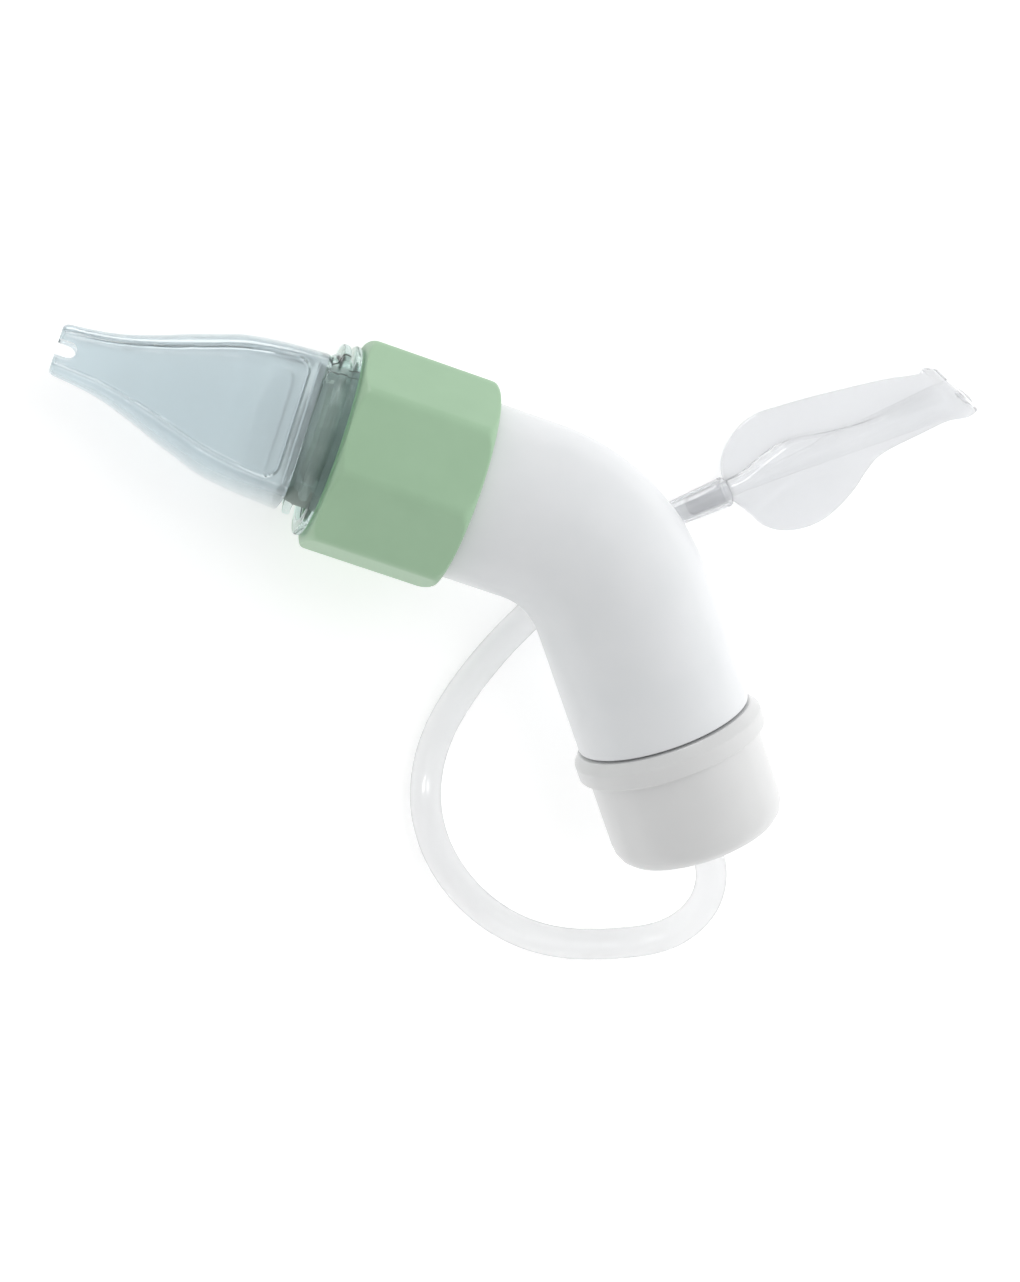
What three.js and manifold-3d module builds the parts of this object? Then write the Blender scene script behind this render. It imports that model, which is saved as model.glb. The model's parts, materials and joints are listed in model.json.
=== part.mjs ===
// A hand-held nasal aspirator: a bent, hollow body with a nose tip on one arm, a
// pull-off end cap on the other, and a suction hose that loops round to a mouthpiece.
// Millimetres, +Z up. It lies on a table at Z = 0, with the nose tip pointing to -X.
// The body lies on its side: the collar and the end cap touch the table, and the
// hose passes below the bend.
import * as THREE from "three";
import { mergeVertices } from "three/addons/utils/BufferGeometryUtils.js";
import Module from "manifold-3d";

const wasm = await Module();
wasm.setup();
const radians = THREE.MathUtils.degToRad;

// ---- Driving dimensions ----

const GAP = 0.35; // between pieces that touch
const SIDES = 36; // of round pieces

// The bent body. Distances along both arms are from the point where their axes meet.
const MEETING_POINT = [15.0, -0.27, 22.6];
const BODY_RADIUS = 15.85;
const BODY_WALL = 1.8;
const BEND_ANGLE = radians(51);
const BEND_RADIUS = 27;
const BEND_STEPS = 7;
const SHOULDER = 26; // where the upper arm steps down to its threaded neck
const NECK_RADIUS = 13.7;
const NECK_END = 43.5;
const BODY_END = 36.6; // where the lower arm steps down to its spigot
const SPIGOT_RADIUS = 13.9;
const SPIGOT_BORE = 12.3;
const SPIGOT_END = 45.5;
const SEAL_GROOVE = [3.6, 5.6]; // along the spigot, from where it starts
const SEAL_GROOVE_DEPTH = 0.9;
const O_RING_THICKNESS = 0.8;

// The octagonal collar, screwed on the neck.
const COLLAR_REAR = 25;
const COLLAR_FRONT = 49.4;
const COLLAR_APOTHEM = 18;
const COLLAR_CORNER_RADIUS = 19; // the circle that cuts the eight corners
const COLLAR_BORE = 15.2;
const COLLAR_LIP = 2.1;
const COLLAR_LIP_BORE = 14.4;
const COLLAR_FLATS = 8;
const COLLAR_REAR_EDGE = 2; // length of the rounding at each end
const COLLAR_FRONT_EDGE = 1.6;
const NOSE_ROLL = radians(4); // how far the collar and nose tip are turned about their axis
const NOSE_HEADING = radians(1); // how far the nose arm is turned from -X
const THREAD_LEAD = 4;
const THREAD_TURNS = 1.5;
const THREAD_BEAD = 0.8;
const NECK_THREAD_START = 34;
const COLLAR_THREAD_START = NECK_THREAD_START - THREAD_LEAD / 2;

// The nose tip. Heights are measured from the collar's front.
const TIP_BASE_RADIUS = 14.05;
const TIP_WALL = 1.5;
const TIP_LENGTH = 49.1;
const TIP_FLANGE_RADIUS = 16.7;
const TIP_FLANGE = [2, 3.2];
const TIP_SNAP_RIM = 1.6; // the rim behind the collar's lip: its length
const BAFFLE = [-3.6, 4.4];
const BAFFLE_WALL = 1.2;
const NOTCH_WIDTH = 2.8;
const NOTCH_DEPTH = 3.4;

// The end cap, a cup with a grip ring round its mouth.
const CAP_MOUTH = 37;
const CAP_END = 59.7;
const CAP_RING_RADIUS = 17.4;
const CAP_RING = [1.8, 4.6, 5]; // from the cap's mouth: its slope's end, its band's end, its back
const CAP_FLOOR = 2.1; // thickness
const CAP_EDGE = 5; // radius of the rounded bottom edge
const CAP_BORE = 14.25;
const CAP_LEDGE = 53.8; // the filter grid rests here
const CAP_LEDGE_WIDTH = 2.4;
const GRID_THICKNESS = 1.2;
const FOAM_THICKNESS = 5;

// The hose and the mouthpiece, which lie on the table.
const HOSE_RADIUS = 2.8;
const HOSE_SIDES = 10;
const HOSE_STEPS = 72;
const NIPPLE_BORE = 1.3;
const NIPPLE_FLANGE = [5, 1.5]; // radius and thickness
const NIPPLE_END = 61.5;
const SLEEVE_START = -9;
const SLEEVE_END = 4.2;
const SLEEVE_BORE = 2.2;
const MOUTHPIECE_AT = [38.34, 14.6, 3.1];
const MOUTHPIECE_HEADING = radians(41.7);

// The hose's middle line, from the nipple in the end cap to the mouthpiece's sleeve.
const HOSE_ROUTE = [
  [55.6, -46.3, 14.8],
  [57.6, -48.7, 14.3],
  [59.2, -51.9, 13.2],
  [59.9, -55.6, 11.4],
  [59.3, -59.3, 9.2],
  [57.5, -62.6, 6.9],
  [54.6, -65.2, 4.9],
  [50.8, -67.2, 3.5],
  [46.2, -69, 2.9],
  [40.5, -70.6, 2.8],
  [34.4, -71.3, 2.8],
  [28, -70.8, 2.8],
  [21.6, -68.9, 2.8],
  [15.7, -65.7, 2.8],
  [10.4, -61, 2.8],
  [6.5, -54.9, 2.8],
  [4.6, -48.1, 2.8],
  [4.5, -41.3, 2.8],
  [5.8, -34.7, 2.8],
  [8, -28, 2.8],
  [10.9, -21.3, 2.8],
  [14.3, -14.9, 2.8],
  [17.9, -8.7, 2.8],
  [21.5, -2.9, 2.8],
  [25.3, 1.9, 2.9],
  [28.6, 5.7, 3],
  [31.35, 8.4, 3.1],
];

// ---- Materials ----

const plastic = (color, roughness = 0.35, opacity = 1) =>
  new THREE.MeshStandardMaterial({
    color,
    roughness,
    metalness: 0,
    opacity,
    transparent: opacity < 1,
  });
const WHITE = plastic(0xeceef0);
const GREEN = plastic(0xa0c2a3);
const PALE_BLUE = plastic(0xc2d1d8, 0.15, 0.7);
const CLEAR = plastic(0xe8ebed, 0.1, 0.45);
const GREY_GREEN = plastic(0x7d918a);
const FOAM = plastic(0xf2f2ee, 0.95);
const SEAL = plastic(0xdfe4e6, 0.5);

// ---- Solids ----

// A closed solid through rings with the same number of points, each turning the
// right-hand way about the direction of travel. A looped loft joins its last ring
// to its first, as a pipe with a wall does; the other kind closes its two ends.
function loft(rings, looped = false) {
  const count = rings[0].length;
  const points = rings.flat();
  const index = [];
  const bands = looped ? rings.length : rings.length - 1;
  for (let i = 0; i < bands; i++) {
    const next = (i + 1) % rings.length;
    for (let j = 0; j < count; j++) {
      const k = (j + 1) % count;
      const [a, b] = [i * count + j, i * count + k];
      const [c, d] = [next * count + j, next * count + k];
      index.push(a, b, d, a, d, c);
    }
  }
  if (!looped) {
    const last = (rings.length - 1) * count;
    const first = points.length;
    for (const ring of [rings[0], rings.at(-1)]) {
      const middle = new THREE.Vector3();
      ring.forEach((p) => middle.addScaledVector(p, 1 / count));
      points.push(middle);
    }
    for (let j = 0; j < count; j++) {
      const k = (j + 1) % count;
      index.push(first, k, j);
      index.push(first + 1, last + j, last + k);
    }
  }
  const geometry = new THREE.BufferGeometry().setFromPoints(points);
  geometry.setIndex(index);
  return geometry;
}

// A solid turned about +Z from a closed profile of [radius, height] points.
function turned(profile, sides = SIDES) {
  const points = profile.map(([r, z]) => new THREE.Vector2(r, z));
  if (profile[0][0] > 0) points.push(points[0].clone());
  return new THREE.LatheGeometry(points, sides).rotateX(Math.PI / 2);
}

// A ring of rectangular section: inner and outer radius, lower and upper height.
const washer = (inner, outer, low, high) =>
  turned([
    [outer, low],
    [outer, high],
    [inner, high],
    [inner, low],
  ]);

const polar = (radius, angle, height) =>
  new THREE.Vector3(radius * Math.cos(angle), radius * Math.sin(angle), height);

// Points of a quarter circle in a profile, from one angle to another.
function arcPoints(centreR, centreZ, radius, from, to, steps = 6) {
  const points = [];
  for (let i = 0; i <= steps; i++) {
    const a = from + ((to - from) * i) / steps;
    points.push([centreR + radius * Math.cos(a), centreZ + radius * Math.sin(a)]);
  }
  return points;
}

function solidOf(geometry) {
  const bare = geometry.clone();
  bare.deleteAttribute("normal");
  bare.deleteAttribute("uv");
  const merged = mergeVertices(bare, 1e-4);
  return new wasm.Manifold(
    new wasm.Mesh({
      numProp: 3,
      vertProperties: merged.attributes.position.array,
      triVerts: new Uint32Array(merged.index.array),
    }),
  );
}

function geometryOf(solid) {
  const mesh = solid.getMesh();
  const geometry = new THREE.BufferGeometry();
  geometry.setAttribute("position", new THREE.BufferAttribute(mesh.vertProperties, 3));
  geometry.setIndex(new THREE.BufferAttribute(mesh.triVerts, 1));
  return geometry;
}

const join = (a, b) => geometryOf(solidOf(a).add(solidOf(b)));
const cut = (a, b) => geometryOf(solidOf(a).subtract(solidOf(b)));

// A rounded screw thread: a bead that winds right-handed up +Z and tapers at its ends.
function threadBead(radius, start) {
  const steps = 20 * THREAD_TURNS;
  const rings = [];
  for (let i = 0; i <= steps; i++) {
    const turn = (THREAD_TURNS * i) / steps;
    const angle = 2 * Math.PI * turn;
    const outward = polar(1, angle, 0);
    const taper = Math.min(1, 0.3 + Math.min(i, steps - i) / 3);
    const middle = polar(radius, angle, start + THREAD_LEAD * turn);
    const ring = [];
    for (let j = 0; j < 6; j++) {
      const a = (-2 * Math.PI * j) / 6;
      const point = middle.clone().addScaledVector(outward, THREAD_BEAD * taper * Math.cos(a));
      point.z += THREAD_BEAD * taper * Math.sin(a);
      ring.push(point);
    }
    rings.push(ring);
  }
  return loft(rings);
}

// ---- How the body lies ----

// The angle by which an arm must slope down for a point on it, at a distance along
// the arm and a radius off its axis, to come down to the table.
const slopeToTouch = ([along, radius]) =>
  Math.asin(MEETING_POINT[2] / Math.hypot(along, radius)) - Math.atan2(radius, along);

const cornerAngle = Math.acos(COLLAR_APOTHEM / COLLAR_CORNER_RADIUS);
const collarReach = COLLAR_CORNER_RADIUS * Math.cos(cornerAngle - NOSE_ROLL);
const noseSlope = slopeToTouch([COLLAR_FRONT - COLLAR_FRONT_EDGE, collarReach]);
const capOutline = arcPoints(BODY_RADIUS - CAP_EDGE, CAP_END - CAP_EDGE, CAP_EDGE, 0, Math.PI / 2);
const capSlope = Math.min(
  slopeToTouch([CAP_MOUTH + CAP_RING[1], CAP_RING_RADIUS]),
  ...capOutline.map(([r, z]) => slopeToTouch([z, r])),
);

// The plan angle between the arms that gives the bend its real angle.
const planAngle = Math.acos(
  (Math.cos(BEND_ANGLE) + Math.sin(noseSlope) * Math.sin(capSlope)) /
    (Math.cos(noseSlope) * Math.cos(capSlope)),
);

// The direction of an arm from its heading about +Z, anticlockwise from +X, and its slope.
const armAxis = (heading, slope) =>
  new THREE.Vector3(
    Math.cos(slope) * Math.cos(heading),
    Math.cos(slope) * Math.sin(heading),
    -Math.sin(slope),
  );
const noseAxis = armAxis(NOSE_HEADING + Math.PI, noseSlope);
const capAxis = armAxis(NOSE_HEADING - planAngle, capSlope);

// A group whose +Z runs along an axis and whose +Y is as near to up as it can be.
function armGroup(axis, roll = 0) {
  const across = new THREE.Vector3(0, 0, 1).cross(axis).normalize();
  const basis = new THREE.Matrix4().makeBasis(across, axis.clone().cross(across), axis);
  const group = new THREE.Group();
  group.quaternion.setFromRotationMatrix(basis);
  group.rotateZ(roll);
  return group;
}

// ---- The bent body ----

// A circle round the body's middle line. Travel is measured along that line from the
// start of the bend: it is negative on the upper arm, and runs on down the lower arm.
function bodyRing(travel, radius) {
  const tangentLength = BEND_RADIUS * Math.tan(BEND_ANGLE / 2);
  const bendLength = BEND_RADIUS * BEND_ANGLE;
  const turn = THREE.MathUtils.clamp(travel / BEND_RADIUS, 0, BEND_ANGLE);
  const start = noseAxis.clone().negate();
  const inward = capAxis.clone().addScaledVector(noseAxis, -capAxis.dot(noseAxis)).normalize();
  const forward = start.clone().multiplyScalar(Math.cos(turn));
  forward.addScaledVector(inward, Math.sin(turn));
  const toCentre = inward.clone().multiplyScalar(Math.cos(turn));
  toCentre.addScaledVector(start, -Math.sin(turn));
  const middle = noseAxis.clone().multiplyScalar(tangentLength);
  middle.addScaledVector(inward, BEND_RADIUS).addScaledVector(toCentre, -BEND_RADIUS);
  const straight = travel < 0 ? travel : Math.max(0, travel - bendLength);
  middle.addScaledVector(forward, straight);
  const side = forward.clone().cross(toCentre);
  const ring = [];
  for (let j = 0; j < SIDES; j++) {
    const a = (2 * Math.PI * j) / SIDES;
    const point = middle.clone().addScaledVector(toCentre, radius * Math.cos(a));
    ring.push(point.addScaledVector(side, radius * Math.sin(a)));
  }
  return ring;
}

function elbowBody() {
  const tangentLength = BEND_RADIUS * Math.tan(BEND_ANGLE / 2);
  const bendLength = BEND_RADIUS * BEND_ANGLE;
  const upper = (distance) => tangentLength - distance;
  const lower = (distance) => bendLength + distance - tangentLength;
  const bore = BODY_RADIUS - BODY_WALL;
  const bend = [];
  for (let i = 0; i <= BEND_STEPS; i++) bend.push((bendLength * i) / BEND_STEPS);
  const outer = [
    [upper(NECK_END), NECK_RADIUS],
    [upper(SHOULDER), NECK_RADIUS],
    [upper(SHOULDER), BODY_RADIUS],
    ...bend.map((travel) => [travel, BODY_RADIUS]),
    [lower(BODY_END), BODY_RADIUS],
    [lower(BODY_END), SPIGOT_RADIUS],
    [lower(BODY_END + SEAL_GROOVE[0]), SPIGOT_RADIUS],
    [lower(BODY_END + SEAL_GROOVE[0]), SPIGOT_RADIUS - SEAL_GROOVE_DEPTH],
    [lower(BODY_END + SEAL_GROOVE[1]), SPIGOT_RADIUS - SEAL_GROOVE_DEPTH],
    [lower(BODY_END + SEAL_GROOVE[1]), SPIGOT_RADIUS],
    [lower(SPIGOT_END), SPIGOT_RADIUS - 0.3],
  ];
  const inner = [
    [lower(SPIGOT_END), SPIGOT_BORE],
    [lower(BODY_END - 4), SPIGOT_BORE],
    [lower(BODY_END - 8), bore],
    ...bend.toReversed().map((travel) => [travel, bore]),
    [upper(SHOULDER - 6), bore],
    [upper(SHOULDER - 2), NECK_RADIUS - BODY_WALL],
    [upper(NECK_END), NECK_RADIUS - BODY_WALL],
  ];
  return loft([...outer, ...inner].map(([travel, r]) => bodyRing(travel, r)), true);
}

// ---- The collar ----

// An octagon with its corners cut by a circle, at a height on the axis. Each flat ends
// where the circle cuts it.
function octagonRing(height, cornerRadius) {
  const ring = [];
  for (let i = 0; i < COLLAR_FLATS; i++) {
    const middle = (2 * Math.PI * i) / COLLAR_FLATS;
    for (const off of [-1, -0.5, 0, 0.5, 1].map((part) => part * cornerAngle)) {
      const radius = Math.min(COLLAR_APOTHEM / Math.cos(off), cornerRadius);
      ring.push(polar(radius, middle + off, height));
    }
    ring.push(polar(cornerRadius, middle + Math.PI / COLLAR_FLATS, height));
  }
  return ring;
}

function collar() {
  const outer = loft([
    octagonRing(COLLAR_REAR, COLLAR_APOTHEM - 1),
    octagonRing(COLLAR_REAR + 0.6, COLLAR_APOTHEM),
    octagonRing(COLLAR_REAR + COLLAR_REAR_EDGE, COLLAR_CORNER_RADIUS),
    octagonRing(COLLAR_FRONT - COLLAR_FRONT_EDGE, COLLAR_CORNER_RADIUS),
    octagonRing(COLLAR_FRONT - 0.6, COLLAR_APOTHEM - 0.1),
    octagonRing(COLLAR_FRONT, COLLAR_APOTHEM - 0.8),
  ]);
  const bore = turned([
    [0, COLLAR_REAR - 1],
    [BODY_RADIUS + GAP, COLLAR_REAR - 1],
    [BODY_RADIUS + GAP, SHOULDER + 1],
    [COLLAR_BORE, SHOULDER + 2],
    [COLLAR_BORE, COLLAR_FRONT - COLLAR_LIP],
    [COLLAR_LIP_BORE, COLLAR_FRONT - COLLAR_LIP],
    [COLLAR_LIP_BORE, COLLAR_FRONT + 1],
    [0, COLLAR_FRONT + 1],
  ]);
  return join(cut(outer, bore), threadBead(COLLAR_BORE - 0.1, COLLAR_THREAD_START));
}

// ---- The nose tip ----

// A flattened round section: half width, half thickness and squareness.
function sectionRing(height, width, thickness, squareness) {
  const power = 2 / squareness;
  const ring = [];
  for (let j = 0; j < SIDES; j++) {
    const a = (2 * Math.PI * j) / SIDES;
    const [c, s] = [Math.cos(a), Math.sin(a)];
    const x = width * Math.sign(c) * Math.abs(c) ** power;
    const y = thickness * Math.sign(s) * Math.abs(s) ** power;
    ring.push(new THREE.Vector3(x, y, COLLAR_FRONT + height));
  }
  return ring;
}

function noseTip() {
  const r = TIP_BASE_RADIUS;
  const skirt = COLLAR_LIP + GAP; // how far the snap rim sits behind the collar's front
  const base = turned([
    [r - TIP_WALL, COLLAR_FRONT - skirt - TIP_SNAP_RIM],
    [r + 0.8, COLLAR_FRONT - skirt - TIP_SNAP_RIM],
    [r + 0.8, COLLAR_FRONT - skirt],
    [r, COLLAR_FRONT - skirt],
    [r, COLLAR_FRONT + TIP_FLANGE[0]],
    [TIP_FLANGE_RADIUS, COLLAR_FRONT + TIP_FLANGE[0]],
    [TIP_FLANGE_RADIUS, COLLAR_FRONT + TIP_FLANGE[1]],
    [r, COLLAR_FRONT + TIP_FLANGE[1] + 0.2],
    [r - TIP_WALL, COLLAR_FRONT + TIP_FLANGE[1] + 0.2],
  ]);
  // Height, half width, half thickness and squareness of the tip's sections.
  const blade = [
    [3.2, r, r, 2],
    [5.2, r, r, 2],
    [5.7, r, 9.6, 2.8],
    [13, 13.5, 8.4, 3],
    [20.5, 12.5, 7.2, 3],
    [24.8, 11.1, 6.4, 3],
    [28.6, 9.8, 5.7, 3],
    [33.4, 7.9, 4.9, 3],
    [37.4, 6.5, 4.2, 3],
    [40.5, 5.6, 3.7, 3],
    [44.9, 5.0, 3.0, 3],
    [TIP_LENGTH, 4.5, 2.5, 3],
  ];
  const outer = blade.map((section) => sectionRing(...section));
  const inner = blade.map(([h, w, t, n]) => {
    const wall = TIP_WALL - (0.4 * h) / TIP_LENGTH;
    return sectionRing(h - (t === r ? 0.3 : 0), w - wall, t - wall, n);
  });
  const hollow = loft([...outer, ...inner.toReversed()], true);
  const notch = new THREE.Shape();
  notch.moveTo(NOTCH_WIDTH / 2, 2);
  notch.absarc(0, NOTCH_WIDTH / 2 - NOTCH_DEPTH, NOTCH_WIDTH / 2, 0, Math.PI, true);
  notch.lineTo(-NOTCH_WIDTH / 2, 2);
  const cutter = new THREE.ExtrudeGeometry(notch, { depth: 12, bevelEnabled: false });
  cutter.translate(0, 0, -6).rotateX(Math.PI / 2);
  cutter.translate(0, 0, COLLAR_FRONT + TIP_LENGTH);
  return cut(join(base, hollow), cutter);
}

// The dark cup inside the nose tip's clear base: its perforated end keeps drops back.
function tipBaffle() {
  const r = TIP_BASE_RADIUS - TIP_WALL - GAP;
  const [back, front] = BAFFLE.map((distance) => COLLAR_FRONT + distance);
  const cup = turned([
    [0, front - BAFFLE_WALL],
    [r - BAFFLE_WALL, front - BAFFLE_WALL],
    [r - BAFFLE_WALL, back],
    [r, back],
    [r, front],
    [0, front],
  ]);
  return cut(cup, holePins(front - 4, front + 4, 1.6, 6));
}

// Pins that pierce a disc: one in the middle and six round it.
function holePins(low, high, holeRadius, circle) {
  const pins = [[0, 0]];
  for (let i = 0; i < 6; i++) {
    const a = (2 * Math.PI * i) / 6;
    pins.push([circle * Math.cos(a), circle * Math.sin(a)]);
  }
  const solids = pins.map(([x, y]) => {
    const pin = new THREE.CylinderGeometry(holeRadius, holeRadius, high - low, 12);
    pin.rotateX(Math.PI / 2).translate(x, y, (low + high) / 2);
    return solidOf(pin);
  });
  return geometryOf(solids.reduce((a, b) => a.add(b)));
}

// ---- The end cap and what it holds ----

function endCap() {
  const ledgeBore = CAP_BORE - CAP_LEDGE_WIDTH;
  const [slopeEnd, bandEnd, back] = CAP_RING.map((distance) => CAP_MOUTH + distance);
  return turned([
    [CAP_BORE, CAP_LEDGE],
    [CAP_BORE, CAP_MOUTH],
    [BODY_RADIUS + 0.25, CAP_MOUTH],
    [CAP_RING_RADIUS, slopeEnd],
    [CAP_RING_RADIUS, bandEnd],
    [BODY_RADIUS, back],
    ...arcPoints(BODY_RADIUS - CAP_EDGE, CAP_END - CAP_EDGE, CAP_EDGE, 0, Math.PI / 2),
    [HOSE_RADIUS + 0.5, CAP_END],
    [HOSE_RADIUS + 0.5, CAP_END - CAP_FLOOR],
    [ledgeBore - 2, CAP_END - CAP_FLOOR],
    [ledgeBore, CAP_END - CAP_FLOOR - 2],
    [ledgeBore, CAP_LEDGE],
  ]);
}

function filterGrid() {
  const top = CAP_LEDGE - GAP;
  const disc = turned([
    [0, top - GRID_THICKNESS],
    [CAP_BORE - GAP, top - GRID_THICKNESS],
    [CAP_BORE - GAP, top],
    [0, top],
  ]);
  return cut(disc, holePins(top - 3, top + 2, 2, 7));
}

function filterFoam() {
  const top = CAP_LEDGE - 2 * GAP - GRID_THICKNESS;
  const bottom = top - FOAM_THICKNESS;
  const r = CAP_BORE - 2 * GAP;
  return turned([
    [0, bottom],
    [r - 0.5, bottom],
    [r, bottom + 0.5],
    [r, top - 0.5],
    [r - 0.5, top],
    [0, top],
  ]);
}

function hoseNipple() {
  const flangeTop = CAP_END - CAP_FLOOR - GAP;
  const stem = HOSE_RADIUS + 0.1;
  const [flange, thickness] = NIPPLE_FLANGE;
  return turned([
    [NIPPLE_BORE, flangeTop - thickness],
    [flange, flangeTop - thickness],
    [flange, flangeTop],
    [stem, flangeTop],
    [stem, NIPPLE_END],
    [NIPPLE_BORE, NIPPLE_END],
  ], 24);
}

// ---- The hose and the mouthpiece ----

function hose() {
  const route = new THREE.CatmullRomCurve3(HOSE_ROUTE.map((p) => new THREE.Vector3(...p)));
  const section = new THREE.Shape();
  for (let j = 0; j < HOSE_SIDES; j++) {
    const a = (2 * Math.PI * j) / HOSE_SIDES;
    const point = [HOSE_RADIUS * Math.cos(a), HOSE_RADIUS * Math.sin(a)];
    if (j === 0) section.moveTo(...point);
    else section.lineTo(...point);
  }
  return new THREE.ExtrudeGeometry(section, { extrudePath: route, steps: HOSE_STEPS });
}

// A sleeve that grips the hose's end and widens over the mouthpiece's spigot.
const sleeve = () =>
  turned([
    [SLEEVE_BORE, SLEEVE_START],
    [SLEEVE_BORE + 0.4, SLEEVE_START],
    [SLEEVE_BORE + 0.8, SLEEVE_END],
    [SLEEVE_BORE, SLEEVE_END],
  ], 24);

// The mouthpiece's plan outline: one smooth wing and one lobed wing, with a lip at the
// slanted end. Points are distance along the axis, and distance to the left of it.
const MOUTHPIECE_OUTLINE = [
  [6.2, 0.3],
  [5.2, 4.3],
  [6.9, 6.9],
  [11.1, 10.0],
  [17.9, 11.0],
  [25.4, 10.1],
  [34.0, 8.8],
  [41.0, 7.5],
  [47.9, 5.9],
  [50.6, 6.3],
  [52.6, 4.6],
  [56.8, -3.4],
  [55.0, -5.3],
  [50.3, -4.7],
  [43.6, -4.7],
  [34.7, -5.7],
  [29.2, -9.6],
  [23.5, -12.4],
  [15.6, -12.1],
  [9.7, -9.5],
  [6.9, -5.2],
];

// The mouthpiece's air duct: distance along, offset to the left, half width, half height.
const DUCT = [
  [4.6, 0, 2.9, 2.9],
  [12, 0.6, 3.2, 3.0],
  [24, 1.2, 3.6, 2.8],
  [40, 0.6, 4.2, 2.6],
  [49, 0.3, 4.6, 2.6],
  [53.5, 0.2, 4.7, 3.0],
];
const SPIGOT_BACK = -3.5;
const WING_THICKNESS = 1.6;

// A ring of the duct, an ellipse square to the axis that leans over at the slanted end.
function ductRing([along, offset, width, height], inset) {
  const slant = 0.5 * THREE.MathUtils.smoothstep(along, 40, 53.5);
  const ring = [];
  for (let j = 0; j < 24; j++) {
    const a = (2 * Math.PI * j) / 24;
    const left = (width - inset) * Math.cos(a);
    ring.push(new THREE.Vector3(along - slant * left, offset + left, (height - inset) * Math.sin(a)));
  }
  return ring;
}

function mouthpiece() {
  const outline = MOUTHPIECE_OUTLINE.map(([x, y]) => new THREE.Vector3(x, y, 0));
  const curve = new THREE.CatmullRomCurve3(outline, true, "centripetal");
  const plan = new THREE.Shape(curve.getPoints(44).slice(0, -1));
  const wings = new THREE.ExtrudeGeometry(plan, { depth: WING_THICKNESS, bevelEnabled: false });
  wings.translate(0, 0, -WING_THICKNESS / 2);
  const spigot = [
    [SPIGOT_BACK, 0, 1.8, 1.8],
    [4.6, 0, 1.8, 1.8],
  ];
  const outer = [...spigot, ...DUCT].map((section) => ductRing(section, 0));
  const bore = [[SPIGOT_BACK - 1, 0, 1.8, 1.8], ...spigot.slice(1), ...DUCT.slice(1)];
  const end = [...DUCT.at(-1)];
  end[0] += 3;
  const inner = [...bore, end].map((section) => ductRing(section, section[3] > 2 ? 1.5 : 0.7));
  return cut(join(wings, loft(outer)), loft(inner));
}

// ---- Assembly ----

function piece(parent, name, geometry, material) {
  const mesh = new THREE.Mesh(geometry, material);
  mesh.name = name;
  parent.add(mesh);
}

const body = new THREE.Group();
body.position.set(...MEETING_POINT);

const noseArm = armGroup(noseAxis, NOSE_ROLL);
const capArm = armGroup(capAxis);
const threadedNeck = armGroup(noseAxis);
const neckThread = threadBead(NECK_RADIUS + 0.2, NECK_THREAD_START);
neckThread.applyQuaternion(threadedNeck.quaternion);
piece(body, "elbow_body", join(elbowBody(), neckThread), WHITE);

const sealAt = NECK_END + GAP;
const ringAt = COLLAR_FRONT + 0.4;
piece(noseArm, "collar", collar(), GREEN);
piece(noseArm, "nose_tip", noseTip(), PALE_BLUE);
piece(noseArm, "tip_baffle", tipBaffle(), GREY_GREEN);
piece(noseArm, "tip_seal", washer(NECK_RADIUS - BODY_WALL, NECK_RADIUS, sealAt, sealAt + 1), SEAL);
piece(noseArm, "tip_ring", washer(TIP_BASE_RADIUS + GAP, TIP_FLANGE_RADIUS + 0.3, ringAt, ringAt + 1.2), CLEAR);

const oRing = new THREE.TorusGeometry(SPIGOT_RADIUS - 0.3, O_RING_THICKNESS / 2, 6, SIDES);
oRing.translate(0, 0, BODY_END + (SEAL_GROOVE[0] + SEAL_GROOVE[1]) / 2);
piece(capArm, "cap_o_ring", oRing, SEAL);
piece(capArm, "end_cap", endCap(), WHITE);
piece(capArm, "filter_grid", filterGrid(), WHITE);
piece(capArm, "filter_foam", filterFoam(), FOAM);
piece(capArm, "hose_nipple", hoseNipple(), CLEAR);
body.add(noseArm, capArm);

// The mouthpiece's own group: +X along its axis, which lies level just off the table.
const mouth = new THREE.Group();
mouth.position.set(...MOUTHPIECE_AT);
mouth.rotation.z = MOUTHPIECE_HEADING;
piece(mouth, "mouthpiece", mouthpiece(), CLEAR);
piece(mouth, "mouthpiece_sleeve", sleeve().rotateY(Math.PI / 2), CLEAR);

const aspirator = new THREE.Group();
aspirator.add(body, mouth);
piece(aspirator, "hose", hose(), CLEAR);

export default aspirator;
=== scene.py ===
import json
import math

import bmesh
import bpy
import numpy as np
from mathutils import Matrix, Vector


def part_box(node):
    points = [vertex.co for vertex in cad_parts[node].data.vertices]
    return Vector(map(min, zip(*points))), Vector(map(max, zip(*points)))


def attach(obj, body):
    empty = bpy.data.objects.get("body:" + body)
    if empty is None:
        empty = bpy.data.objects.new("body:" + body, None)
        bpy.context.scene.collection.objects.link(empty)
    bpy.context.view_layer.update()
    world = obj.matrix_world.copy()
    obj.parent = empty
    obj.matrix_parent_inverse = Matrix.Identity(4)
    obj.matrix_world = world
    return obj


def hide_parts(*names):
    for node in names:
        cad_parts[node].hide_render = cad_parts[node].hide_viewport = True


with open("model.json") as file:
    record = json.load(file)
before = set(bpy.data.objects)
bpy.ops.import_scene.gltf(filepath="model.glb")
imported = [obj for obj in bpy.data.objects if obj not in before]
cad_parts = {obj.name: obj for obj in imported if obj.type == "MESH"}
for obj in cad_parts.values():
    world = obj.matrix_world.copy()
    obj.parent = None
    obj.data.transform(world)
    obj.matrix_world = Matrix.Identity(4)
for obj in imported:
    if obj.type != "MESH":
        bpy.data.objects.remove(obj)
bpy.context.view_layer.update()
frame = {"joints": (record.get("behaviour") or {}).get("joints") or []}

MM = 0.001
JOINTS = {joint["name"]: joint for joint in frame["joints"]}

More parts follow.
